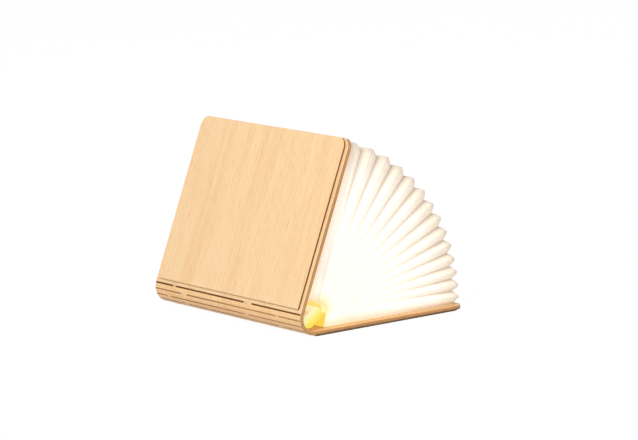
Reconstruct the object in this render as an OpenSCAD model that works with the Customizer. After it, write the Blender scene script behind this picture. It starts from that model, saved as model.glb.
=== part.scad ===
// Folding book lamp, standing half open on its lower cover.
// Two wood covers and a kerf cut wood spine form one folding shell. Inside it
// a light bar is fixed to the spine, and a pleated paper bellows fans out
// between the covers and closes the head, the tail and the fore edge.
// Section plane is XZ. The spine runs along Y. Tail end at -Y, head end at +Y.

/* [Book] */
// Length of the covers along the spine
book_len = 215; // [120:1:300]
// Flat width of a cover from its hinge line to the fore edge
cover_w = 140; // [100:0.5:200]
// Opening angle between the covers as the lamp stands
open_deg = 67; // [50:1:85]

/* [Wood shell] */
// Thickness of the base sheet that makes boards and spine
board_t = 3; // [2:0.1:4]
// Thickness of the outer panel glued on each board
panel_t = 1.6; // [1:0.1:3]
// Border of base sheet left bare at the spine, head and tail of each outer panel
panel_border = 3.8; // [2:0.1:8]
// Border of base sheet left bare at the fore edge
fore_border = 0.5; // [0.3:0.1:8]
// Corner radius of the boards at the fore edge
board_corner_r = 9; // [3:0.5:20]
// Corner radius of the outer panels at the fore edge
panel_corner_r = 8; // [1:0.5:15]

/* [Spine] */
// Distance between two rows of slits
slat_pitch = 4.3; // [3.8:0.1:5]
// Width of a slit row
kerf = 1; // [0.9:0.05:1.2]
// Bend at the two slit rows beside the middle slat
bend_inner = 22; // [18:0.5:24]
// Bend at the two rows next to those
bend_mid = 20; // [16:0.5:22]
// Length of a bridge of wood left uncut in a slit row
bridge_len = 7; // [4:0.5:12]
// Turning clearance round a bridge
bridge_clear = 0.08; // [0.05:0.01:0.1]

/* [Light bar] */
// Half width of the light bar
bar_r = 5.3; // [5:0.1:5.4]
// Depth of the light bar from its foot to its front
bar_depth = 19; // [17:0.5:21]
// Wall of the light bar shells
bar_wall = 1.2; // [0.8:0.1:1.6]
// Distance from the end of the spine to the light bar's end caps
bar_end_gap = 2.5; // [1:0.5:8]
// Thickness of the end caps
cap_t = 2; // [1.5:0.1:4]
// Width of the light strip's circuit board
strip_w = 7.8; // [6:0.1:7.9]
// Thickness of circuit boards
pcb_t = 1; // [0.8:0.1:1.6]
// Number of light emitting chips
led_count = 12; // [6:1:20]

/* [Pages] */
// Depth of a pleat from ridge to valley
pleat_depth = 4; // [2:0.5:8]
// Distance of the pleat ridges from the tail and head edges
page_inset = 3.5; // [2:0.5:10]
// Distance of the pleat ridges from the fore edge of the lying cover
fore_inset = 1; // [0.5:0.5:10]
// Thickness of the page paper
paper_t = 0.25; // [0.15:0.05:0.4]
// Thickness of the end papers
end_paper_t = 0.4; // [0.3:0.05:0.8]
// Angle of the lowest ridge below the lying cover's plane
page_dip = 3; // [1:0.5:4]
// Angle of the highest ridge past the raised cover's plane
page_lean = 2.8; // [0.5:0.1:3.5]
// How much closer the lower pleats lie than the upper ones
page_crowd = 0.28; // [0:0.02:0.4]

/* [Magnets] */
// Radius of the disc magnets in the covers
magnet_r = 4; // [2:0.5:6]
// Thickness of the disc magnets
magnet_t = 1.5; // [1:0.1:2]
// Distance of the disc magnets from the fore edge and from the head and tail
magnet_inset = 36; // [20:1:45]

/* [Hidden] */
$fn = 48;
slop = 0.15;
// Extra width of the slit rows at the two boards, which no bridge crosses.
edge_clear = 0.2;
page_count = 14;
leg_steps = 4;
glue_gap = 0.02;
// Width of end paper beyond the glued edge of the outer half pleats.
end_paper_margin = 2;

// Slats are numbered 1 to 5 from the lying cover to the raised cover, and
// slit rows 0 to 5. A path runs from the lying cover round to the raised one.
slat_count = 5;
fold_deg = 180 - open_deg;
bend_outer = fold_deg / 2 - bend_inner - bend_mid;
bends = [bend_outer, bend_mid, bend_inner, bend_inner, bend_mid, bend_outer];
function bend_sum(i) = i < 0 ? 0 : bends[i] + bend_sum(i - 1);
function path_deg(i) = 180 - bend_sum(i - 1);
row_zero = [0.5, panel_t + board_t / 2];
function row(i) = i == 0 ? row_zero
    : row(i - 1) + slat_pitch * [cos(path_deg(i)), sin(path_deg(i))];
core_mid = (row(2) + row(3)) / 2;
core_deg = path_deg(3);
face_deg = core_deg - 90;
lower_len = cover_w - row_zero[0];
origin_x = (row_zero[0] + panel_border + cover_w - fore_border) / 2;

// Light bar section, in the frame of the middle slat: u along, v inward.
bar_foot_v = board_t / 2;
foot_h = 0.7;
bar_back_v = bar_foot_v + foot_h;
bar_back_mid = bar_back_v + bar_r;
bar_front_mid = bar_back_v + bar_depth - bar_r;
bar_split_v = 12.6;
bar_len = book_len - 2 * bar_end_gap - 2 * cap_t;
bar_core_r = bar_r - bar_wall;
strip_v = bar_split_v - pcb_t;
ledge_w = 1.4;
led_size = [2.8, 3.5, 1.4];
sensor_size = [3, 3, 1.2];
led_margin = 12;
battery_w = 6.6;
battery_h = 5.2;
battery_len = 92;
battery_floor = 4.5;
battery_mid_y = -20;
battery_edge_r = 1;
control_len = 34;
control_w = 7;
control_floor = 5.6;
port_w = 7.6;
port_h = 2.9;
port_len = 7.3;
port_wall = 0.4;
port_round = 1.44;
plug_len = 4;

// Pages: ridges stand on a fan of half planes that meet at the hub line.
hub_v = 16;
hub = core_mid + hub_v * [cos(face_deg), sin(face_deg)];
page_r0 = 9;
page_r = cover_w - fore_inset - hub[0];
ridge_y = book_len / 2 - page_inset;
valley_y = ridge_y - pleat_depth;
valley_r = page_r - pleat_depth;
page_first = -page_dip;
page_span = open_deg + page_lean + page_dip;
function page_share(k) = let (t = (k - 1) / (page_count - 1))
    t * (1 - page_crowd) + t * t * page_crowd;
function ridge_deg(k) = page_first + page_span * page_share(k);
function valley_deg(k) = (ridge_deg(k) + ridge_deg(k + 1)) / 2;

// Draws in the frame of a path point: x runs along the path, z points outward.
module at_path(p, deg) {
    translate([p[0], 0, p[1]]) rotate([0, -deg, 0]) children();
}

// Draws in the frame of the middle slat: x is u, z is v, pointing inward.
module at_core() {
    translate([core_mid[0], 0, core_mid[1]]) rotate([0, 90 - face_deg, 0])
        mirror([1, 0, 0]) children();
}

// Moves the whole lamp so that the centre of its resting face is the origin.
module seated() {
    translate([-origin_x, 0, 0]) children();
}

// Extrudes an XZ outline along Y, centred on the given place.
module along_y(len, mid = 0) {
    translate([0, mid + len / 2, 0]) rotate([90, 0, 0]) linear_extrude(len)
        children();
}

// Flat outline with two round corners on its far side.
module cover_outline(x0, x1, half, r) {
    translate([x0, -half]) square([x1 - r - x0, 2 * half]);
    translate([x0, r - half]) square([x1 - x0, 2 * (half - r)]);
    for (s = [-1, 1]) translate([x1 - r, s * (half - r)]) circle(r = r);
}

// Flat outline with four round corners, centred.
module round_outline(w, h, r) {
    square([w - 2 * r, h], center = true);
    square([w, h - 2 * r], center = true);
    for (x = [-1, 1]) for (y = [-1, 1])
        translate([x * (w / 2 - r), y * (h / 2 - r)]) circle(r = r);
}

module magnet_places() {
    for (s = [-1, 1])
        translate([cover_w - magnet_inset, s * (book_len / 2 - magnet_inset), 0])
            children();
}

// Board from its hinge line to the fore edge, outer face up, path along -x.
module board_blank() {
    difference() {
        translate([0, 0, -board_t / 2]) linear_extrude(board_t)
            cover_outline(kerf / 2 + edge_clear, lower_len, book_len / 2,
                board_corner_r);
        translate([0, 0, -board_t / 2 - 1]) magnet_places()
            cylinder(r = magnet_r, h = magnet_t + 1);
    }
}

module panel_blank() {
    translate([0, 0, board_t / 2]) linear_extrude(panel_t)
        cover_outline(panel_border, lower_len - fore_border,
            book_len / 2 - panel_border, panel_corner_r);
}

module end_paper_blank() {
    translate([hub[0] - row_zero[0] + page_r0 - end_paper_margin,
        -valley_y - end_paper_margin, -board_t / 2 - end_paper_t])
        cube([valley_r - page_r0 + 2 * end_paper_margin,
            2 * (valley_y + end_paper_margin), end_paper_t]);
}

module magnets_blank() {
    translate([0, 0, -board_t / 2]) magnet_places()
        cylinder(r = magnet_r, h = magnet_t);
}

// Frames of the two covers, x from the hinge line to the fore edge, z outward.
module at_lower_cover() {
    translate([row_zero[0], 0, row_zero[1]]) mirror([0, 0, 1]) children();
}
module at_raised_cover() {
    at_path(row(slat_count), open_deg) children();
}

module lower_board() {
    color("burlywood") seated() at_lower_cover() board_blank();
}
module lower_panel() {
    color("wheat") seated() at_lower_cover() panel_blank();
}
module lower_end_paper() {
    color("ivory") seated() at_lower_cover() end_paper_blank();
}
module lower_magnets() {
    color("silver") seated() at_lower_cover() magnets_blank();
}

trigger_r = 2;
trigger_x = 6;
trigger_inset = 26;
trigger_y = book_len / 2 - trigger_inset;
module trigger_pocket(extra) {
    translate([trigger_x, trigger_y, -board_t / 2 - extra])
        cylinder(r = trigger_r, h = magnet_t + extra);
}
module raised_board() {
    color("burlywood") seated() at_raised_cover() difference() {
        board_blank();
        trigger_pocket(1);
    }
}
module raised_panel() {
    color("wheat") seated() at_raised_cover() panel_blank();
}
module raised_end_paper() {
    color("ivory") seated() at_raised_cover() end_paper_blank();
}
module raised_magnets() {
    color("silver") seated() at_raised_cover() magnets_blank();
}
module trigger_magnet() {
    color("silver") seated() at_raised_cover() trigger_pocket(0);
}

// Places of the bridges along a slit row; neighbouring rows are staggered.
function bridge_ys(i) = book_len * (i % 2 == 0 ? [-0.345, 0.3] : [-0.13, 0.41]);

// One slat between rows i-1 and i. It carries its bridges on one side, and
// clears the neighbour's bridges on the other.
module slat(i, bridges_at_end) {
    own = bridges_at_end ? i : i - 1;
    other = bridges_at_end ? i - 1 : i;
    own_x = bridges_at_end ? slat_pitch : 0;
    other_x = slat_pitch - own_x;
    end_row = own == 0 || own == slat_count;
    color("burlywood") seated() at_path(row(i - 1), path_deg(i)) difference() {
        union() {
            translate([kerf / 2, -book_len / 2, -board_t / 2])
                cube([slat_pitch - kerf, book_len, board_t]);
            if (!end_row) for (y = bridge_ys(own)) translate([own_x, y, 0])
                rotate([90, 0, 0]) cylinder(r = board_t / 2, h = bridge_len,
                    center = true);
        }
        for (y = bridge_ys(other)) translate([other_x, y, 0])
            rotate([90, 0, 0]) cylinder(r = board_t / 2 + bridge_clear,
                h = bridge_len + 2 * bridge_clear, center = true);
    }
}
module spine_slat_lower_outer() slat(1, false);
module spine_slat_lower_inner() slat(2, false);
module spine_slat_raised_inner() slat(4, true);
module spine_slat_raised_outer() slat(5, true);
module spine_slat_middle() {
    color("burlywood") seated() at_path(row(2), path_deg(3)) union() {
        translate([kerf / 2, -book_len / 2, -board_t / 2])
            cube([slat_pitch - kerf, book_len, board_t]);
        for (side = [0, 1]) for (y = bridge_ys(2 + side))
            translate([side * slat_pitch, y, 0]) rotate([90, 0, 0])
                cylinder(r = board_t / 2, h = bridge_len, center = true);
    }
}

// Section of the light bar as a slot shape, shrunk by the given amount.
module bar_outline(shrink) {
    half = bar_r - shrink;
    translate([-half, bar_back_mid])
        square([2 * half, bar_front_mid - bar_back_mid]);
    for (v = [bar_back_mid, bar_front_mid]) translate([0, v]) circle(r = half);
}
module bar_ring() {
    difference() {
        bar_outline(0);
        bar_outline(bar_wall);
    }
}
module light_housing() {
    foot_w = slat_pitch - kerf;
    color("whitesmoke") seated() at_core() along_y(bar_len) union() {
        difference() {
            bar_ring();
            translate([-2 * bar_r, bar_split_v]) square([4 * bar_r, bar_depth]);
        }
        difference() {
            translate([-foot_w / 2, bar_foot_v])
                square([foot_w, bar_back_mid - bar_foot_v]);
            bar_outline(bar_wall / 2);
        }
        for (s = [-1, 1])
            translate([s * (bar_core_r + bar_wall / 2 - ledge_w), strip_v - ledge_w / 2])
                square([2 * ledge_w - bar_wall, ledge_w], center = true);
    }
}
module light_diffuser() {
    color("khaki", 0.6) seated() at_core() along_y(bar_len) difference() {
        bar_ring();
        translate([-2 * bar_r, bar_split_v - bar_depth])
            square([4 * bar_r, bar_depth]);
    }
}
module cap_blank(side) {
    along_y(cap_t, side * (bar_len + cap_t) / 2) bar_outline(0);
    along_y(plug_len, side * (bar_len - plug_len) / 2) difference() {
        bar_outline(bar_wall + slop);
        bar_outline(2 * bar_wall + slop);
        translate([-bar_r, strip_v - ledge_w - slop])
            square([2 * bar_r, ledge_w + pcb_t + led_size[2] + 2 * slop]);
    }
}
module tail_cap() {
    color("gold", 0.8) seated() at_core() cap_blank(-1);
}
port_v = control_floor + pcb_t + port_h / 2;
module port_outline(grow) {
    translate([0, port_v])
        round_outline(port_w + 2 * grow, port_h + 2 * grow, port_round + grow);
}
module head_cap() {
    color("whitesmoke") seated() at_core() difference() {
        cap_blank(1);
        along_y(2 * (plug_len + cap_t), bar_len / 2) port_outline(slop);
    }
}
module light_strip() {
    strip_len = bar_len - 2 * slop;
    color("white") seated() at_core()
        translate([-strip_w / 2, -strip_len / 2, strip_v])
        cube([strip_w, strip_len, pcb_t]);
}
module light_chips() {
    step = (bar_len - 2 * led_margin) / (led_count - 1);
    color("lightyellow") seated() at_core() for (i = [0 : led_count - 1])
        translate([-led_size[0] / 2,
            led_margin - bar_len / 2 + i * step - led_size[1] / 2, bar_split_v])
            cube(led_size);
}
module battery_pack() {
    color("steelblue") seated() at_core() along_y(battery_len, battery_mid_y)
        translate([0, battery_floor + battery_h / 2])
        round_outline(battery_w, battery_h, battery_edge_r);
}
control_y = bar_len / 2 - plug_len - 2 * slop - control_len / 2;
module control_board() {
    color("seagreen") seated() at_core()
        translate([-control_w / 2, control_y - control_len / 2, control_floor])
        cube([control_w, control_len, pcb_t]);
}
module charge_port() {
    color("silver") seated() at_core()
        along_y(port_len, bar_len / 2 - port_len / 2) difference() {
            port_outline(0);
            port_outline(-port_wall);
        }
}
module opening_sensor() {
    color("dimgray") seated() at_core()
        translate([-sensor_size[0] / 2, trigger_y - sensor_size[1] / 2,
            control_floor + pcb_t]) cube(sensor_size);
}

// A point of the bellows on the half plane at the given angle.
function on_plane(deg, r, y) =
    [hub[0] + r * cos(deg), y, hub[1] + r * sin(deg)];
function normal(deg) = [-sin(deg), 0, cos(deg)];
function height(p, deg) =
    (p[2] - hub[1]) * cos(deg) - (p[0] - hub[0]) * sin(deg);
function mixed(a, b, t) = a + (b - a) * t;
function stepped(a, b) = [for (i = [0 : leg_steps]) mixed(a, b, i / leg_steps)];

// The U shaped line of a ridge or valley: tail leg, fore edge, head leg.
function fold_line(deg, r, y) = concat(
    stepped(on_plane(deg, page_r0, -y), on_plane(deg, r, -y)),
    stepped(on_plane(deg, r, y), on_plane(deg, page_r0, y)));
function ridge_line(k) = fold_line(ridge_deg(k), page_r, ridge_y);
function valley_line(k) = fold_line(valley_deg(k), valley_r, valley_y);

// Where the first and last half pleats are glued to the end papers.
function on_cover(p, deg, off, x, y) =
    let (s = x - row_zero[0])
    [p[0] + s * cos(deg) - off * sin(deg), y, p[1] + s * sin(deg) + off * cos(deg)];
glue_x0 = hub[0] + page_r0;
glue_x1 = hub[0] + valley_r;
function glue_line(p, deg, off) = concat(
    stepped(on_cover(p, deg, off, glue_x0, -valley_y),
        on_cover(p, deg, off, glue_x1, -valley_y)),
    stepped(on_cover(p, deg, off, glue_x1, valley_y),
        on_cover(p, deg, off, glue_x0, valley_y)));
glue_off = board_t / 2 + end_paper_t + glue_gap;
lower_glue = glue_line(row_zero, 0, glue_off);
raised_glue = glue_line(row(slat_count), open_deg, -glue_off);

// Inner side of the paper: valleys move towards the ridge plane by its
// thickness, and the ridge moves inward until both halves are as thick.
function inner_valley(line, deg) =
    [for (p = line) p - sign(height(p, deg)) * paper_t * normal(deg)];
function inner_ridge(line, below, above, deg) = [for (i = [0 : len(line) - 1])
    let (low = abs(height(below[i], deg)), high = abs(height(above[i], deg)),
        v = low > high ? below[i] : above[i],
        foot = v - height(v, deg) * normal(deg))
    mixed(line[i], foot, paper_t / max(low, high))];

// One pleat: the folded strip from the valley below a ridge to the one above.
module page(k) {
    deg = ridge_deg(k);
    ridge = ridge_line(k);
    below = k == 1 ? lower_glue : valley_line(k - 1);
    above = k == page_count ? raised_glue : valley_line(k);
    n = len(ridge);
    strips = [for (s = [0 : 5]) for (i = [0 : n - 2])
        let (a = s * n + i, b = (s + 1) % 6 * n + i)
        each s < 3 ? [[a, a + 1, b + 1], [a, b + 1, b]]
            : [[a, a + 1, b], [a + 1, b + 1, b]]];
    tail_end = [[0, n, 4 * n], [0, 4 * n, 5 * n], [n, 2 * n, 3 * n], [n, 3 * n, 4 * n]];
    head_end = [for (f = tail_end) [f[2], f[1], f[0]] + (n - 1) * [1, 1, 1]];
    color("floralwhite") seated() polyhedron(
        points = concat(below, ridge, above, inner_valley(above, deg),
            inner_ridge(ridge, below, above, deg), inner_valley(below, deg)),
        faces = concat(strips, tail_end, head_end));
}
module page_01() page(1);
module page_02() page(2);
module page_03() page(3);
module page_04() page(4);
module page_05() page(5);
module page_06() page(6);
module page_07() page(7);
module page_08() page(8);
module page_09() page(9);
module page_10() page(10);
module page_11() page(11);
module page_12() page(12);
module page_13() page(13);
module page_14() page(14);

lower_board();
lower_panel();
lower_end_paper();
lower_magnets();
raised_board();
raised_panel();
raised_end_paper();
raised_magnets();
trigger_magnet();
spine_slat_lower_outer();
spine_slat_lower_inner();
spine_slat_middle();
spine_slat_raised_inner();
spine_slat_raised_outer();
light_housing();
light_diffuser();
tail_cap();
head_cap();
light_strip();
light_chips();
battery_pack();
control_board();
charge_port();
opening_sensor();
page_01();
page_02();
page_03();
page_04();
page_05();
page_06();
page_07();
page_08();
page_09();
page_10();
page_11();
page_12();
page_13();
page_14();
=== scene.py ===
import math

import bmesh
import bpy
from mathutils import Matrix, Vector

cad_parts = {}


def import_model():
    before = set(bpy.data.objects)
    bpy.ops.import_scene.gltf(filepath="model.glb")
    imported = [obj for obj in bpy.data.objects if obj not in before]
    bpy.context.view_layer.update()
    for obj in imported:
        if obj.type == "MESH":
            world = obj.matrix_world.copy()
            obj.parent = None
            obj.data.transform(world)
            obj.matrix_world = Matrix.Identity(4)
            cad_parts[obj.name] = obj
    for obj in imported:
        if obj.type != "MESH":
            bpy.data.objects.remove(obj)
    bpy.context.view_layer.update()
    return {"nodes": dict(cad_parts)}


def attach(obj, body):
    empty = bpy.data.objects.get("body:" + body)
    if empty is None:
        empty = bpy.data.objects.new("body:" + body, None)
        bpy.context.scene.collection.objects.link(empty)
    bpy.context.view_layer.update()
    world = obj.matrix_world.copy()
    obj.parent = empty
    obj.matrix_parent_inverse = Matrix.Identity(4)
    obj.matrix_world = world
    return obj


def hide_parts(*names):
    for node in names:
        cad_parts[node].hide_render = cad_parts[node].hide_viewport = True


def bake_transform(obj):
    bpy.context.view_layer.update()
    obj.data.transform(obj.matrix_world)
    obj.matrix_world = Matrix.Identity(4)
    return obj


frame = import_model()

# Covers, each a base sheet with a panel glued on its outer face
BOOK_LEN = 215.0
COVER_W = 140.0
OPEN_DEG = 67.0
SHEET_T = 3.0
PANEL_T = 1.6
PANEL_BORDER = 3.8
FORE_BORDER = 0.5
BOARD_CORNER_R = 9.0
PANEL_CORNER_R = 8.0
CORNER_STEPS = 20
EASED = 0.15
SHARP_DEG = 40.0
# A face belongs to the side that its normal points to by more than this
COVER_SIDE = 0.3

# Spine, cut into slats by rows of slits that bend
SLAT_COUNT = 5
SLAT_PITCH = 4.3
KERF = 1.0
EDGE_CLEAR = 0.2
BEND_INNER = 22.0
BEND_MID = 20.0
BEND_OUTER = (180 - OPEN_DEG) / 2 - BEND_INNER - BEND_MID
BENDS = [BEND_OUTER, BEND_MID, BEND_INNER, BEND_INNER, BEND_MID, BEND_OUTER]
ROW_ZERO = (0.5, PANEL_T + SHEET_T / 2)
ORIGIN_X = (ROW_ZERO[0] + PANEL_BORDER + COVER_W - FORE_BORDER) / 2
LOWER_LEN = COVER_W - ROW_ZERO[0]
SLAT_EASED = 0.1
SLAT_SIDE = 0.6
# Drop of a slat's outer face, for each square mm of distance from its middle
CROWN = 0.0452
CROWN_STEPS = 6
SLIT_W = 0.6
BRIDGE_R = 1.44
BRIDGE_INSET = 0.02
END_BRIDGE = 0.7
SLIT_ROD_R = 0.62
SLIT_ROD_R_END = 0.8
SLIT_ROD_INSET = 0.3
ROD_SIDES = 24

# Each cover's side, sheet piece and body
COVERS = (("lower", 0, "lower_cover"), ("raised", SLAT_COUNT + 1, "raised_cover"))
# Each slat's body and solid
SLATS = {1: ("slat_lower_outer", "spine_slat_lower_outer"),
         2: ("slat_lower_inner", "spine_slat_lower_inner"),
         3: ("spine", "spine_slat_middle"),
         4: ("slat_raised_inner", "spine_slat_raised_inner"),
         5: ("slat_raised_outer", "spine_slat_raised_outer")}
# Uncut places of each slit row: their middle along the spine and their length
BRIDGES = {0: ((-74.2, 7.0), (64.5, 7.0)), 1: ((-28.0, 7.0), (88.2, 7.0)),
           2: ((-74.2, 7.0), (64.5, 7.0)), 3: ((-28.0, 7.0), (88.2, 7.0)),
           4: ((-74.2, 5.0), (64.5, 10.0)), 5: ((-30.7, 11.0), (79.0, 4.5))}
# The slat that carries each row's bridges, and the side of it they are on
CARRIERS = {0: (1, 0), 1: (2, 0), 2: (3, 0), 3: (3, 1), 4: (4, 1), 5: (5, 1)}

# Light bar, in the frame of the middle slat: u along the slat, v inward
BAR_R = 5.3
BAR_DEPTH = 19.0
BAR_WALL = 1.2
BAR_STANDOFF = 0.7
BAR_BACK_V = SHEET_T / 2 + BAR_STANDOFF
BAR_BACK_MID = BAR_BACK_V + BAR_R
BAR_FRONT_MID = BAR_BACK_V + BAR_DEPTH - BAR_R
BAR_SPLIT_V = 12.6
BAR_INSET = 2.5
BAR_STEPS = 24
CAP_T = 2.0
CAP_ROUND = 0.8
FRONT_EASED = 0.2
BAR_HALF = BOOK_LEN / 2 - BAR_INSET - CAP_T
# The bar's last stretch at the tail, which glows less than the rest
DIM_END = 14.0

# Paper
PAGE_COUNT = 14
HUB_V = 16.0
PAGE_R0 = 9.0
PLEAT_DEPTH = 4.0
PAGE_INSET = 3.5
FORE_INSET = 1.0
PAPER_T = 0.25
PAPER_CORNER_R = 3.0
END_PAPER_T = 0.4
GLUE_GAP = 0.02
PAGE_DIP = 3.0
PAGE_LEAN = 2.8
PAGE_CROWD = 0.28
LEG_STEPS = 12
TURN_STEPS = 4
CREASE_DEG = 50.0
# A half pleat from its ridge to its valley: shares of its angle, and of its
# depth, which grows slowly first so that the ridges are round
PLEAT_STEPS = 4
RIDGE_ROUND = 1.5
HALF_PLEAT = [(k / PLEAT_STEPS, (k / PLEAT_STEPS) ** RIDGE_ROUND) for k in range(PLEAT_STEPS + 1)]

# Camera, fitted to the photograph: angles in degrees, distances in mm
CAM_AZIMUTH = 32.481
CAM_ELEVATION = 9.438
CAM_ROLL = -3.440
CAM_DISTANCE = 3116.77
CAM_SHIFT_RIGHT = 62.075
CAM_SHIFT_UP = 76.701
CAM_AIM = (0.0, 0.0, PANEL_T)
CAM_FOCAL_PX = 3981.56
IMAGE_W_PX = 638
SENSOR_MM = 36.0

# Studio, in metres and watts: each light's name, place, size and power
LIGHTS = (("key", (-1.5, -0.9, 1.5), 1.2, 29),
          ("fill", (0.9, -1.6, 0.9), 1.4, 9),
          ("back", (0.6, 1.4, 1.2), 1.2, 3))
LIGHT_TARGET = (0, 0, 0.06)
FLOOR_REACH = 12.0
VIEW_NEAR = 0.1
VIEW_FAR = 60


# The section of the folded sheet
def world(x, y, z):
    """A point of the section in mm, as a place in the shared frame in metres."""
    return Vector(((x - ORIGIN_X) / 1000, y / 1000, z / 1000))


def polar(deg, r):
    return (r * math.cos(math.radians(deg)), r * math.sin(math.radians(deg)))


def path_deg(i):
    """Direction in which the sheet runs on after its first i slit rows."""
    return 180 - sum(BENDS[:i])


def row(i):
    """Middle of slit row i in the section, as (x, z)."""
    x, z = ROW_ZERO
    for k in range(1, i + 1):
        dx, dz = polar(path_deg(k), SLAT_PITCH)
        x, z = x + dx, z + dz
    return (x, z)


CORE_MID = tuple((a + b) / 2 for a, b in zip(row(2), row(3)))
FACE_DEG = path_deg(3) - 90


def core(u, y, v):
    """A point in the frame of the middle slat, as a place in the shared frame."""
    ax, az = polar(FACE_DEG, v)
    bx, bz = polar(FACE_DEG + 90, u)
    return world(CORE_MID[0] + ax + bx, y, CORE_MID[1] + az + bz)


def sheet_frame(i):
    """Turns (s, y, n) on sheet piece i into a place. s runs along the sheet
    from its slit row, n points outward. 0 is the lying cover, 1 to 5 are the
    slats and 6 is the raised cover."""
    if i == 0:
        return lambda s, y, n: world(ROW_ZERO[0] + s, y, ROW_ZERO[1] - n)
    x, z = row(i - 1)
    deg = math.radians(path_deg(i) if i <= SLAT_COUNT else OPEN_DEG)
    c, q = math.cos(deg), math.sin(deg)
    return lambda s, y, n: world(x + s * c - n * q, y, z + s * q + n * c)


def grain_place(i, s, y, n):
    """Place in the uncut sheet, in mm: along the grain, across it, through."""
    along = -s if i == 0 else s + (i - 1) * SLAT_PITCH
    return (along, y, n)


# The paper fans out round the hub, a line along the spine close to the middle
# of the bar's rounded front
HUB = tuple(a + b for a, b in zip(CORE_MID, polar(FACE_DEG, HUB_V)))
PAGE_R = COVER_W - FORE_INSET - HUB[0]
VALLEY_R = PAGE_R - PLEAT_DEPTH
RIDGE_Y = BOOK_LEN / 2 - PAGE_INSET
VALLEY_Y = RIDGE_Y - PLEAT_DEPTH
PAGE_SPAN = OPEN_DEG + PAGE_LEAN + PAGE_DIP


# Colours
def srgb(r, g, b):
    """A colour as it should look, 0 to 255, as linear values."""
    def linear(c):
        c /= 255
        return c / 12.92 if c <= 0.04045 else ((c + 0.055) / 1.055) ** 2.4
    return (linear(r), linear(g), linear(b), 1.0)


def grey(value):
    return (value, value, value, 1.0)


WHITE = grey(1.0)
# Maple in three tones each, from light to dark
PANEL_TONES = [srgb(252, 219, 173), srgb(249, 212, 163), srgb(243, 201, 147)]
STRIP_TONES = [srgb(254, 214, 163), srgb(251, 207, 153), srgb(243, 193, 135)]
INNER_TONES = [srgb(238, 194, 141), srgb(232, 185, 130), srgb(220, 170, 113)]
# Cut wood, from the least scorched to the most, and last a painted shade
WOOD_CUT = srgb(226, 181, 129)
EDGE_PALE = srgb(207, 159, 109)
WOOD_SCORCH = srgb(186, 136, 84)
EDGE_DARK = srgb(171, 121, 73)
WOOD_BURNT = srgb(146, 94, 44)
WOOD_CHAR = srgb(98, 58, 24)
# Painted shade, for the lying cover's edges next to the floor
EDGE_SHADE = srgb(58, 34, 16)
# How far the painted shade at an edge's outer corner reaches down it, in mm
ARRIS_SHADE_REACH = 0.9
# Share of the pleats' reach, beside the bar, where the bar's yellow light is painted into the
# paper's colour
HUB_GLOW = 0.06


# Materials. The attribute "grain" is a place on the piece in mm.
class Nodes:
    """A short way to build the node tree of a material or a world."""

    def __init__(self, owner, out="ShaderNodeOutputMaterial"):
        self.owner = owner
        owner.use_nodes = True
        self.tree = owner.node_tree
        self.tree.nodes.clear()
        self.out = self.add(out)

    def feed(self, socket, value):
        """Links an output to a socket, or sets the socket's own value."""
        if isinstance(value, bpy.types.NodeSocket):
            self.tree.links.new(value, socket)
        else:
            socket.default_value = value

    def add(self, kind, inputs=(), **settings):
        node = self.tree.nodes.new(kind)
        for key, value in settings.items():
            setattr(node, key, value)
        for key, value in dict(inputs).items():
            self.feed(node.inputs[key], value)
        return node

    def attribute(self, name, output="Vector"):
        return self.add("ShaderNodeAttribute", attribute_name=name).outputs[output]

    def noise(self, vector, scale, detail, rough, shift=(0, 0, 0), output="Fac"):
        """Noise over a place, with one scale for each axis."""
        place = self.add("ShaderNodeMapping", {
            "Vector": vector, "Scale": scale, "Location": shift}).outputs[0]
        return self.add("ShaderNodeTexNoise", {
            "Vector": place, "Scale": 1.0, "Detail": detail,
            "Roughness": rough}).outputs[output]

    def ramp(self, fac, stops):
        node = self.add("ShaderNodeValToRGB", {"Fac": fac})
        ramp = node.color_ramp
        while len(ramp.elements) < len(stops):
            ramp.elements.new(0.5)
        for element, (place, colour) in zip(ramp.elements, stops):
            element.position, element.color = place, colour
        return node.outputs["Color"]

    def math(self, operation, a, b=0.0, c=0.0, clamp=False):
        return self.add("ShaderNodeMath", {0: a, 1: b, 2: c},
                        operation=operation, use_clamp=clamp).outputs[0]

    def blend(self, a, b, share):
        """The two values added, a with its share and b with the rest."""
        return self.math("ADD", self.math("MULTIPLY", a, share),
                         self.math("MULTIPLY", b, 1 - share))

    def mix(self, fac, a, b, blend="MIX"):
        return self.add("ShaderNodeMix", {0: fac, 6: a, 7: b},
                        data_type="RGBA", blend_type=blend).outputs[2]

    def bump(self, height, strength, depth):
        """Relief of a surface. The depth is in mm."""
        return self.add("ShaderNodeBump", {
            "Height": height, "Strength": strength, "Distance": depth / 1000}).outputs[0]

    def principled(self, inputs):
        return self.surface(self.add("ShaderNodeBsdfPrincipled", inputs))

    def surface(self, shader):
        self.feed(self.out.inputs["Surface"], shader.outputs[0])
        return self.owner


def material_nodes(name):
    return Nodes(bpy.data.materials.new(name))


def grained_place(n, shift):
    """Place in the sheet with the slow waver that a sliced veneer has."""
    place = n.attribute("grain")
    waver = n.noise(place, (0.03, 0.05, 0.05), 2.0, 0.5, shift, "Color")
    return n.add("ShaderNodeVectorMath", {0: waver, 1: (9.0, 5.0, 5.0), 2: place},
                 operation="MULTIPLY_ADD").outputs[0]


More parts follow.
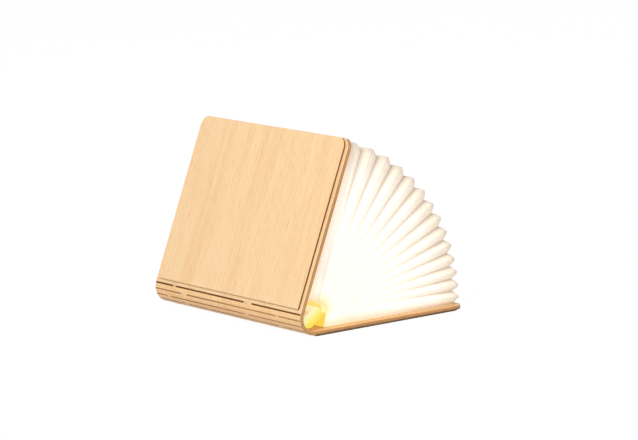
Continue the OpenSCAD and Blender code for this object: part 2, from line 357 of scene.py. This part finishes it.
def wood(name, shift, tones):
    """Pale close grained maple, with short darker flecks along the grain."""
    n = material_nodes(name)
    place = grained_place(n, shift)
    broad = n.noise(place, (0.005, 0.06, 0.06), 3.0, 0.5, shift)
    streak = n.noise(place, (0.016, 0.5, 0.5), 5.0, 0.62, shift)
    fibre = n.noise(place, (0.06, 2.4, 2.4), 3.0, 0.7, shift)
    fleck = n.noise(place, (0.11, 1.1, 1.1), 2.0, 0.5, shift)
    colour = n.ramp(n.blend(broad, streak, 0.5), list(zip((0.36, 0.5, 0.66), tones)))
    lines = n.ramp(fibre, [(0.4, WHITE), (0.75, srgb(243, 232, 218))])
    colour = n.mix(0.6, colour, lines, "MULTIPLY")
    flecks = n.ramp(fleck, [(0.56, WHITE), (0.72, srgb(240, 222, 200))])
    colour = n.mix(0.7, colour, flecks, "MULTIPLY")
    return n.principled({
        "Base Color": colour, "Roughness": 0.5, "Coat Weight": 0.1,
        "Coat Roughness": 0.4, "Specular IOR Level": 0.3,
        "Normal": n.bump(n.blend(fibre, fleck, 0.6), 0.2, 0.05)})


def cut_edge(name, pale, dark, shift, corner_shade=None):
    """Laser cut edge of a sheet: thin plies, scorched unevenly. The last colour, where given, is
    painted shade at the outer corner, where the edge darkens."""
    n = material_nodes(name)
    place = n.attribute("grain")
    plies = n.noise(place, (0.01, 0.01, 1.5), 1.0, 0.4, shift)
    char = n.noise(place, (0.3, 0.3, 0.9), 4.0, 0.6, shift)
    colour = n.ramp(n.blend(plies, char, 0.6), [(0.36, pale), (0.64, dark)])
    # Painted shade: the edge darkens towards its outer corner
    if corner_shade:
        through = n.add("ShaderNodeSeparateXYZ", {0: place}).outputs[2]
        outer = n.math("SUBTRACT", through, SHEET_T / 2 - ARRIS_SHADE_REACH)
        outer = n.math("DIVIDE", outer, ARRIS_SHADE_REACH / 2, clamp=True)
        colour = n.mix(outer, colour, corner_shade)
    return n.principled({
        "Base Color": colour, "Roughness": 0.65, "Specular IOR Level": 0.2,
        "Normal": n.bump(char, 0.3, 0.08)})


def paper_fibre(n):
    """Fine fibres of the paper, and the relief that they give it."""
    fibre = n.noise(n.attribute("grain"), (0.5, 0.5, 0.5), 6.0, 0.65)
    return fibre, n.bump(fibre, 0.3, 0.06)


def paper(name):
    """Coated fibre paper that the light inside shines through. near is 0 at
    the pleats' tips and 1 beside the bar, fold is 0 on a ridge and 1 in a valley."""
    n = material_nodes(name)
    fibre, relief = paper_fibre(n)
    near = n.attribute("near", "Fac")
    fold = n.attribute("fold", "Fac")
    # Painted shade: the paper is greyer towards the pleats' tips, where less of the bar's light
    # reaches
    base = n.ramp(n.math("MULTIPLY_ADD", fibre, 0.12, near),
                  [(0.06, srgb(216, 207, 196)), (0.11, srgb(236, 228, 216)),
                   (0.25, srgb(250, 245, 238)), (0.6, srgb(252, 248, 242))])
    # Painted shade in the valleys of the pleats, fading out towards the bar
    valley_shade = n.ramp(fold, [(0.5, WHITE), (1.0, srgb(214, 208, 203))])
    inward = n.math("MULTIPLY", near, 1.8, clamp=True)
    base = n.mix(n.math("MULTIPLY_ADD", inward, -0.8, 1.0), base,
                 n.mix(1.0, base, valley_shade, "MULTIPLY"))
    # Painted light: the paper takes the bar's yellow close beside it
    bar_yellow_share = n.math("MULTIPLY_ADD", near, 1 / HUB_GLOW, 1 - 1 / HUB_GLOW, clamp=True)
    base = n.mix(bar_yellow_share, base, srgb(255, 242, 212))
    # Painted glow: emission stands in for the bar's light through the paper, strongest in the
    # valleys beside the bar
    lit = n.ramp(near, [(0.0, srgb(255, 232, 204)), (0.4, srgb(255, 250, 240)),
                        (1 - HUB_GLOW, srgb(255, 244, 222)), (1.0, srgb(255, 234, 180))])
    power = n.ramp(near, [(0.0, grey(0.13)), (0.05, grey(0.19)), (0.55, grey(0.21)),
                          (0.8, grey(0.15)), (1.0, grey(0.22))])
    deep = n.math("MULTIPLY", fold, near)
    power = n.math("MULTIPLY_ADD", n.math("MULTIPLY", deep, deep), 0.3, power)
    cloud = n.noise(n.attribute("grain"), (0.05, 0.05, 0.05), 3.0, 0.5)
    power = n.math("MULTIPLY", power, n.math("MULTIPLY_ADD", cloud, 0.3, 0.85))
    front = n.add("ShaderNodeBsdfDiffuse", {"Color": base, "Roughness": 0.4, "Normal": relief})
    through = n.add("ShaderNodeBsdfTranslucent", {"Color": base, "Normal": relief})
    sheet = n.add("ShaderNodeMixShader", {
        0: 0.2, 1: front.outputs[0], 2: through.outputs[0]})
    light = n.add("ShaderNodeEmission", {"Color": lit, "Strength": power})
    return n.surface(n.add("ShaderNodeAddShader", {0: sheet.outputs[0], 1: light.outputs[0]}))


def lit_sheet(name):
    """The flat paper inside a cover, which the bar lights from close by: its yellow towards the
    bar and its glow are painted light.
    """
    n = material_nodes(name)
    near = n.attribute("near", "Fac")
    base = n.ramp(near, [(0.4, srgb(250, 244, 226)), (0.8, srgb(242, 222, 128))])
    lit = n.ramp(near, [(0.4, srgb(255, 246, 178)), (0.8, srgb(255, 226, 96))])
    return n.principled({
        "Base Color": base, "Roughness": 0.8, "Specular IOR Level": 0.1,
        "Emission Color": lit,
        "Emission Strength": n.math("MULTIPLY_ADD", near, -0.3, 0.47),
        "Normal": paper_fibre(n)[1]})


def glowing_plastic(name):
    """Milky plastic lit from inside, deeper yellow towards its lower side."""
    n = material_nodes(name)
    warmth = n.attribute("warmth", "Fac")
    deep = n.attribute("deep", "Fac")
    cloud = n.noise(n.attribute("grain"), (0.12, 0.12, 0.12), 2.0, 0.5)
    colour = n.ramp(n.math("MULTIPLY_ADD", cloud, 0.12, warmth),
                    [(0.15, srgb(255, 255, 215)), (0.45, srgb(255, 248, 160)),
                     (0.75, srgb(255, 232, 100)), (1.0, srgb(255, 214, 64))])
    return n.principled({
        "Base Color": (0.34, 0.27, 0.05, 1), "Roughness": 0.35, "Specular IOR Level": 0.2,
        "Emission Color": colour,
        "Emission Strength": n.math("MULTIPLY_ADD", deep, 0.4, 0.66)})


def plain(name, colour, rough, metal=0.0, fineness=1500.0, relief=0.1, glow=0.0):
    """Moulded, plated or printed surfaces with a fine grain."""
    n = material_nodes(name)
    place = n.add("ShaderNodeTexCoord").outputs["Object"]
    grain = n.noise(place, (fineness,) * 3, 3.0, 0.6)
    tone = n.ramp(grain, [(0.3, colour), (0.8, tuple(0.86 * c for c in colour[:3]) + (1,))])
    return n.principled({
        "Base Color": tone, "Metallic": metal, "Roughness": rough,
        "Emission Color": colour, "Emission Strength": glow,
        "Normal": n.bump(grain, relief, 0.05)})


board_wood = wood("board_face_wood", (3.1, 7.7, 0.0), PANEL_TONES)
inner_wood = wood("inner_face_wood", (6.2, 4.1, 1.0), INNER_TONES)
strip_wood = wood("strip_face_wood", (3.1, 7.7, 0.0), STRIP_TONES)
panel_wood = wood("panel_face_wood", (11.3, 2.9, 4.0), PANEL_TONES)
sheet_edge = cut_edge("sheet_edge", EDGE_PALE, EDGE_DARK, (5.0, 1.0, 2.0))
panel_edge = cut_edge("panel_edge", WOOD_BURNT, WOOD_CHAR, (1.0, 6.0, 0.0))
# The lying cover's board edge, with painted shade at its corner next to the floor
shaded_lying_edge = cut_edge("shaded_lying_edge", EDGE_PALE, EDGE_DARK, (5.0, 1.0, 2.0), EDGE_SHADE)
# The lying cover's panel edge: burnt like the raised one, and darker as painted shade in its
# recess under the board
shaded_lower_panel_edge = cut_edge("shaded_lower_panel_edge", WOOD_CHAR, EDGE_SHADE, (4.0, 2.0, 6.0))
slit_wall = cut_edge("slit_wall", WOOD_BURNT, WOOD_CHAR, (9.0, 3.0, 7.0))
slit_floor = cut_edge("slit_floor", WOOD_CUT, WOOD_SCORCH, (2.0, 8.0, 5.0))
page_paper = paper("page_paper")
end_sheet_paper = lit_sheet("end_sheet_paper")
bar_plastic = glowing_plastic("bar_plastic")


# Meshes
def store(mesh, name, values, kind="FLOAT"):
    """Keeps one value or vector for each vertex of a mesh."""
    data = mesh.attributes.new(name, kind, "POINT").data
    if kind == "FLOAT":
        data.foreach_set("value", values)
    else:
        data.foreach_set("vector", [c for v in values for c in v])


def new_object(name, mesh, materials):
    for material in materials:
        mesh.materials.append(material)
    piece = bpy.data.objects.new(name, mesh)
    bpy.context.scene.collection.objects.link(piece)
    return piece


def finish_bmesh(bm, name, materials, place, grain=tuple, fields=None):
    """Turns a bmesh in local mm into a piece in the shared frame. fields has
    a function of the local place for each value that a material reads."""
    grains = [grain(v.co) for v in bm.verts]
    values = {key: [field(v.co) for v in bm.verts] for key, field in (fields or {}).items()}
    for v in bm.verts:
        v.co = place(*v.co)
    bmesh.ops.recalc_face_normals(bm, faces=bm.faces)
    mesh = bpy.data.meshes.new(name)
    bm.to_mesh(mesh)
    bm.free()
    store(mesh, "grain", grains, "FLOAT_VECTOR")
    for key, numbers in values.items():
        store(mesh, key, numbers)
    mesh.shade_smooth()
    piece = new_object(name, mesh, materials)
    weighted = piece.modifiers.new("weighted", "WEIGHTED_NORMAL")
    weighted.keep_sharp = True
    return piece


def placed(piece, body, slot, *nodes):
    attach(piece, body)
    if nodes:
        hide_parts(*nodes)


def arc(cx, cy, r, start, end, steps):
    return [(cx + r * math.cos(math.radians(start + (end - start) * k / steps)),
             cy + r * math.sin(math.radians(start + (end - start) * k / steps)))
            for k in range(steps + 1)]


def cover_outline(s0, s1, half, r):
    """Outline with two round corners at its far side, as (s, y) points."""
    return ([(s0, -half)] + arc(s1 - r, -half + r, r, -90, 0, CORNER_STEPS)
            + arc(s1 - r, half - r, r, 0, 90, CORNER_STEPS) + [(s0, half)])


def prism(outline, low, high, axis):
    """A bmesh of an outline between two heights. axis tells where the height
    goes: 2 for an (s, y) outline and 1 for an (s, n) outline."""
    def point(p, h):
        return (p[0], p[1], h) if axis == 2 else (p[0], h, p[1])
    bm = bmesh.new()
    ends = [[bm.verts.new(point(p, h)) for p in outline] for h in (low, high)]
    count = len(outline)
    bm.faces.new(reversed(ends[0]))
    bm.faces.new(ends[1])
    for k in range(count):
        m = (k + 1) % count
        bm.faces.new((ends[0][k], ends[0][m], ends[1][m], ends[1][k]))
    bmesh.ops.recalc_face_normals(bm, faces=bm.faces)
    return bm


def ease(bm, offset, segments=2, where=lambda edge: True):
    """Rounds the sharp edges, or those of them that are asked for."""
    sharp = [e for e in bm.edges
             if e.calc_face_angle(0.0) > math.radians(SHARP_DEG) and where(e)]
    bmesh.ops.bevel(bm, geom=sharp, offset=offset, segments=segments, profile=0.5,
                    affect="EDGES", clamp_overlap=True)
    bm.normal_update()


def wooden(bm, name, i, materials, side_of):
    """A part of sheet piece i, with the grain of the uncut sheet. side_of
    tells which material a face takes, from its normal."""
    for f in bm.faces:
        f.material_index = side_of(f.normal)
    return finish_bmesh(bm, name, materials, sheet_frame(i), lambda p: grain_place(i, *p))


# Covers
def cover_side(normal):
    """0 for the outer face, 1 for the edges and 2 for the inner face."""
    if normal.z > COVER_SIDE:
        return 0
    return 2 if normal.z < -COVER_SIDE else 1


def cover_part(name, i, outline, low, thick, materials):
    bm = prism(outline, low, low + thick, 2)
    ease(bm, EASED)
    return wooden(bm, name, i, materials, cover_side)


def covers():
    half = BOOK_LEN / 2
    top = SHEET_T / 2
    board = cover_outline(KERF / 2 + EDGE_CLEAR, LOWER_LEN, half, BOARD_CORNER_R)
    panel = cover_outline(PANEL_BORDER, LOWER_LEN - FORE_BORDER,
                          half - PANEL_BORDER, PANEL_CORNER_R)
    edges = {"lower": (shaded_lying_edge, shaded_lower_panel_edge), "raised": (sheet_edge, panel_edge)}
    for side, i, body in COVERS:
        board_edge, outer_edge = edges[side]
        piece = cover_part(f"{side}_cover_board", i, board, -top, SHEET_T,
                           (board_wood, board_edge, inner_wood))
        placed(piece, body, "board_wood", f"{side}_board")
        piece = cover_part(f"{side}_cover_panel", i, panel, top, PANEL_T,
                           (panel_wood, outer_edge, inner_wood))
        placed(piece, body, "panel_wood", f"{side}_panel")


# Spine
def slat_section():
    """A strip's section, with its outer face crowned to follow the spine."""
    half = SHEET_T / 2
    s0, s1 = KERF / 2, SLAT_PITCH - KERF / 2
    out0, out1 = SLIT_W / 2, SLAT_PITCH - SLIT_W / 2
    crown = [out1 + (out0 - out1) * k / CROWN_STEPS for k in range(CROWN_STEPS + 1)]
    return [(s0, -half), (s1, -half)] + [
        (s, half - CROWN * (s - SLAT_PITCH / 2) ** 2) for s in crown]


def slat_side(normal):
    """0 for the faces, 1 for the ends and 2 for the walls of the slits."""
    if abs(normal.z) > SLAT_SIDE:
        return 0
    return 1 if abs(normal.y) > SLAT_SIDE else 2


def rod_side(normal):
    """0 for the round of a bar along the spine and 1 for its ends."""
    return 1 if abs(normal.y) > SLAT_SIDE else 0


def rod(s, r, y0, y1):
    """A round bar along the spine, in the frame of a sheet piece."""
    step = 360 / ROD_SIDES
    return prism(arc(s, 0, r, 0, 360 - step, ROD_SIDES - 1), y0, y1, 1)


def strips():
    half = BOOK_LEN / 2
    for i, (body, node) in SLATS.items():
        bm = prism(slat_section(), -half, half, 1)
        ease(bm, SLAT_EASED, 1)
        wall = slit_wall if i == SLAT_COUNT else slit_floor
        piece = wooden(bm, f"spine_strip_{i}", i, (strip_wood, sheet_edge, wall), slat_side)
        placed(piece, body, "board_wood", node)


def bridges(slit, i, s):
    """The uncut places of a slit row, with a short one at each end of it."""
    flush = BOOK_LEN / 2 - BRIDGE_INSET
    spans = [(y - w / 2, y + w / 2, slit_floor) for y, w in BRIDGES[slit]]
    spans += [(-flush, END_BRIDGE - flush, sheet_edge), (flush - END_BRIDGE, flush, sheet_edge)]
    for k, (y0, y1, end) in enumerate(spans):
        piece = wooden(rod(s, BRIDGE_R, y0, y1), f"slit_{slit}_bridge_{k}", i,
                       (strip_wood, end), rod_side)
        placed(piece, SLATS[i][0], "board_wood")


def slit_shade_rod(slit, i, s):
    """A rod that closes a slit row at mid depth and stands in for what is seen down the slit:
    scorched wood, darker as painted shade in the rows at the boards.
    """
    at_board = slit in (0, SLAT_COUNT)
    reach = BOOK_LEN / 2 - SLIT_ROD_INSET
    bm = rod(s, SLIT_ROD_R_END if at_board else SLIT_ROD_R, -reach, reach)
    piece = wooden(bm, f"slit_{slit}_floor", i, (slit_wall if at_board else slit_floor,),
                   lambda normal: 0)
    placed(piece, SLATS[i][0], "board_wood")


covers()
strips()
for slit, (carrier, far_side) in CARRIERS.items():
    bridges(slit, carrier, far_side * SLAT_PITCH)
    slit_shade_rod(slit, carrier, far_side * SLAT_PITCH)


# Light bar
def unit(value):
    """The value, kept between 0 and 1."""
    return min(1.0, max(0.0, value))


def bar_piece(bm, name, node):
    fields = {"warmth": lambda p: unit(0.5 - p.x / (2 * BAR_R)),
              "deep": lambda p: unit((p.y + BAR_HALF - DIM_END) / DIM_END)}
    piece = finish_bmesh(bm, name, [bar_plastic], core, fields=fields)
    placed(piece, "spine", "diffuser_plastic", node)


def bar_tail_end():
    stadium = (arc(0, BAR_BACK_MID, BAR_R, 180, 360, BAR_STEPS)
               + arc(0, BAR_FRONT_MID, BAR_R, 0, 180, BAR_STEPS))
    bm = prism(stadium, -BAR_HALF - CAP_T, -BAR_HALF, 1)
    ease(bm, CAP_ROUND, 4, lambda e: all(v.co.y < -BAR_HALF - CAP_T / 2 for v in e.verts))
    bar_piece(bm, "bar_tail_end", "tail_cap")


def bar_front():
    inner = BAR_R - BAR_WALL
    shell = ([(BAR_R, BAR_SPLIT_V)] + arc(0, BAR_FRONT_MID, BAR_R, 0, 180, BAR_STEPS)
             + [(-BAR_R, BAR_SPLIT_V), (-inner, BAR_SPLIT_V)]
             + arc(0, BAR_FRONT_MID, inner, 180, 0, BAR_STEPS) + [(inner, BAR_SPLIT_V)])
    bm = prism(shell, -BAR_HALF, BAR_HALF, 1)
    for y in (DIM_END, 2 * DIM_END):
        bmesh.ops.bisect_plane(bm, geom=bm.verts[:] + bm.edges[:] + bm.faces[:],
                               plane_co=(0, y - BAR_HALF, 0), plane_no=(0, 1, 0))
    ease(bm, FRONT_EASED)
    bar_piece(bm, "bar_front", "light_diffuser")


bar_tail_end()
bar_front()


# Paper
def share(k):
    """Place of ridge k in the fan, 0 to 1. Ridges crowd at the lying cover."""
    t = (k - 1) / (PAGE_COUNT - 1)
    return t * (1 - PAGE_CROWD) + t * t * PAGE_CROWD


def ridge_deg(k):
    return -PAGE_DIP + PAGE_SPAN * share(k)


def valley_deg(k):
    return (ridge_deg(k) + ridge_deg(k + 1)) / 2


def fan_point(deg, r, y):
    x, z = polar(deg, r)
    return (HUB[0] + x, y, HUB[1] + z)


def u_line(place, depth):
    """The U shaped line of a fold, so deep inward from the ridges: tail leg,
    fore edge, head leg. place turns a distance from the hub and a place along
    the spine into a point."""
    far, side, corner = PAGE_R - depth, RIDGE_Y - depth, PAPER_CORNER_R
    leg = [(PAGE_R0 + (far - corner - PAGE_R0) * k / LEG_STEPS, -side) for k in range(LEG_STEPS)]
    turn = arc(far - corner, corner - side, corner, -90, 0, TURN_STEPS)
    fore = [(far, (corner - side) * (1 - k / LEG_STEPS)) for k in range(1, LEG_STEPS)]
    half = leg + turn + fore
    return [place(r, y) for r, y in half + [(far, 0)] + [(r, -y) for r, y in reversed(half)]]


def fold_line(deg, depth):
    """Line on the half plane at an angle, deeper inward towards a valley."""
    return u_line(lambda r, y: fan_point(deg, r, y), depth)


def glue_line(i):
    """Where an outer half pleat is glued to the end paper of cover i."""
    at = sheet_frame(i)
    n = -(SHEET_T / 2 + END_PAPER_T + GLUE_GAP)

    def place(r, y):
        p = at(HUB[0] + r - ROW_ZERO[0], y, n) * 1000
        return (p.x + ORIGIN_X, p.y, p.z)
    return u_line(place, PLEAT_DEPTH)


def pleat(name, lines, depths):
    """Folded paper through the given lines, thickened on its inner side.
    depths tells how near each line is to a valley, 0 to 1."""
    count = len(lines[0])
    points = [p for line in lines for p in line]
    faces = [(a * count + i, (a + 1) * count + i, (a + 1) * count + i + 1, a * count + i + 1)
             for a in range(len(lines) - 1) for i in range(count - 1)]
    mesh = bpy.data.meshes.new(name)
    mesh.from_pydata([world(*p) for p in points], [], faces)
    mesh.validate()
    mesh.shade_smooth()
    mesh.set_sharp_from_angle(angle=math.radians(CREASE_DEG))
    store(mesh, "grain", points, "FLOAT_VECTOR")
    reach = [math.hypot(x - HUB[0], z - HUB[1]) for x, y, z in points]
    store(mesh, "near", [max(0.0, 1 - (r - PAGE_R0) / (PAGE_R - PAGE_R0)) for r in reach])
    store(mesh, "fold", [depth for depth in depths for _ in range(count)])
    piece = new_object(name, mesh, [page_paper])
    solid = piece.modifiers.new("paper", "SOLIDIFY")
    solid.thickness = PAPER_T / 1000
    solid.offset = 1
    solid.use_even_offset = True
    solid.thickness_clamp = 1.0
    return piece


def page_body(k):
    return "lower_cover" if k == 1 else f"page_{k:02d}"


def end_papers():
    s0 = HUB[0] + PAGE_R0 - ROW_ZERO[0]
    s1 = HUB[0] + VALLEY_R - ROW_ZERO[0]
    top = -SHEET_T / 2
    outline = cover_outline(s0, s1, VALLEY_Y, PAPER_CORNER_R)
    fields = {"near": lambda p: 1 - (p.x - s0) / (s1 - s0)}
    for side, i, body in COVERS:
        bm = prism(outline, top - END_PAPER_T, top, 2)
        piece = finish_bmesh(bm, f"{side}_end_sheet", [end_sheet_paper], sheet_frame(i),
                             fields=fields)
        placed(piece, body, "page_paper", f"{side}_end_paper")


def fold(k, depths):
    """The paper from ridge k over the next valley to the next ridge."""
    valley = valley_deg(k)
    half = valley - ridge_deg(k)
    down = [fold_line(ridge_deg(k) + half * t, PLEAT_DEPTH * d) for t, d in HALF_PLEAT]
    up = [fold_line(ridge_deg(k + 1) - half * t, PLEAT_DEPTH * d) for t, d in HALF_PLEAT]
    piece = pleat(f"paper_fold_{k:02d}", down + up[-2::-1], depths + depths[-2::-1])
    mid = Vector(fan_point(valley, VALLEY_R, 0))
    page_body(k)
    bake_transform(piece)
    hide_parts(f"page_{k + 1:02d}")


def pages():
    first = pleat("paper_first_half", [glue_line(0), fold_line(ridge_deg(1), 0)], [1.0, 0.0])
    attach(first, page_body(1))
    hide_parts("page_01")
    depths = [depth for _, depth in HALF_PLEAT]
    for k in range(1, PAGE_COUNT):
        fold(k, depths)
    last = pleat("paper_last_half",
                 [fold_line(ridge_deg(PAGE_COUNT), 0), glue_line(SLAT_COUNT + 1)], [0.0, 1.0])
    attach(last, page_body(PAGE_COUNT))


end_papers()
pages()


# Carried-over solids
def dress(material, *nodes):
    for node in nodes:
        piece = frame["nodes"][node]
        if not piece.material_slots:
            piece.data.materials.append(material)
        for slot in piece.material_slots:
            slot.material = material


dress(plain("white_moulding", srgb(240, 238, 232), 0.5), "head_cap")
# The housing's warm tone and glow are painted light from the bar inside it
dress(plain("lit_moulding", srgb(250, 236, 176), 0.5, glow=0.3), "light_housing")
dress(plain("magnet_plating", srgb(196, 196, 198), 0.25, 1.0, 3000.0, 0.05),
      "lower_magnets", "raised_magnets", "trigger_magnet")
dress(plain("white_circuit", srgb(238, 240, 238), 0.35), "light_strip")
dress(plain("phosphor", srgb(255, 226, 110), 0.3, glow=0.6), "light_chips")
dress(plain("cell_wrap", srgb(70, 110, 168), 0.35), "battery_pack")
dress(plain("green_circuit", srgb(40, 110, 72), 0.35), "control_board")
dress(plain("stamped_steel", srgb(184, 184, 186), 0.3, 1.0), "charge_port")
dress(plain("black_package", srgb(28, 28, 30), 0.5), "opening_sensor")


# Studio
def floor():
    """A pale floor: nearly white with a faint shadow where it is looked at, and
    matt grey for the light that it throws back."""
    n = material_nodes("floor_white")
    path = n.add("ShaderNodeLightPath").outputs
    seen = n.math("ADD", path["Is Camera Ray"], path["Is Glossy Ray"], clamp=True)
    seen = n.math("ADD", seen, path["Is Transmission Ray"], clamp=True)
    matt = n.add("ShaderNodeBsdfDiffuse", {"Color": grey(0.7)})
    white = n.add("ShaderNodeEmission", {"Color": WHITE, "Strength": 1.02})
    both = n.add("ShaderNodeMixShader", {
        0: n.math("MULTIPLY", seen, 0.96), 1: matt.outputs[0], 2: white.outputs[0]})
    mesh = bpy.data.meshes.new("floor")
    w = FLOOR_REACH
    mesh.from_pydata([(-w, -w, 0), (w, -w, 0), (w, w, 0), (-w, w, 0)], [], [(0, 1, 2, 3)])
    new_object("floor", mesh, [n.surface(both)])


def surroundings():
    """White where the camera or a reflection sees it, softer as a light."""
    n = Nodes(bpy.data.worlds.new("studio"), "ShaderNodeOutputWorld")
    path = n.add("ShaderNodeLightPath").outputs
    seen = n.math("ADD", path["Is Camera Ray"], path["Is Glossy Ray"], clamp=True)
    strength = n.add("ShaderNodeMapRange", {"Value": seen, "To Min": 0.64, "To Max": 1.0})
    back = n.add("ShaderNodeBackground", {"Strength": strength.outputs[0]})
    bpy.context.scene.world = n.surface(back)


def area_light(name, place, size, watts):
    data = bpy.data.lights.new(name, "AREA")
    data.shape, data.size, data.energy = "DISK", size, watts
    lamp = bpy.data.objects.new(name, data)
    lamp.location = place
    lamp.rotation_mode = "QUATERNION"
    lamp.rotation_quaternion = (Vector(LIGHT_TARGET) - Vector(place)).to_track_quat("-Z", "Y")
    bpy.context.scene.collection.objects.link(lamp)


def camera():
    azimuth, tilt, roll = (math.radians(a) for a in (CAM_AZIMUTH, CAM_ELEVATION, CAM_ROLL))
    forward = Vector((math.sin(azimuth) * math.cos(tilt), math.cos(azimuth) * math.cos(tilt),
                      -math.sin(tilt)))
    level = Vector((math.cos(azimuth), -math.sin(azimuth), 0))
    up = level.cross(forward)
    right = math.cos(roll) * level + math.sin(roll) * up
    top = -math.sin(roll) * level + math.cos(roll) * up
    data = bpy.data.cameras.new("camera")
    data.sensor_width = SENSOR_MM
    data.lens = CAM_FOCAL_PX * SENSOR_MM / IMAGE_W_PX
    data.clip_start, data.clip_end = VIEW_NEAR, VIEW_FAR
    cam = bpy.data.objects.new("camera", data)
    place = (world(*CAM_AIM) - forward * CAM_DISTANCE / 1000
             + right * CAM_SHIFT_RIGHT / 1000 + top * CAM_SHIFT_UP / 1000)
    turn = Matrix((right, top, -forward)).transposed().to_4x4()
    cam.matrix_world = Matrix.Translation(place) @ turn
    bpy.context.scene.collection.objects.link(cam)
    bpy.context.scene.camera = cam


floor()
surroundings()
for light in LIGHTS:
    area_light(*light)
camera()
bpy.context.scene.view_settings.view_transform = "Standard"
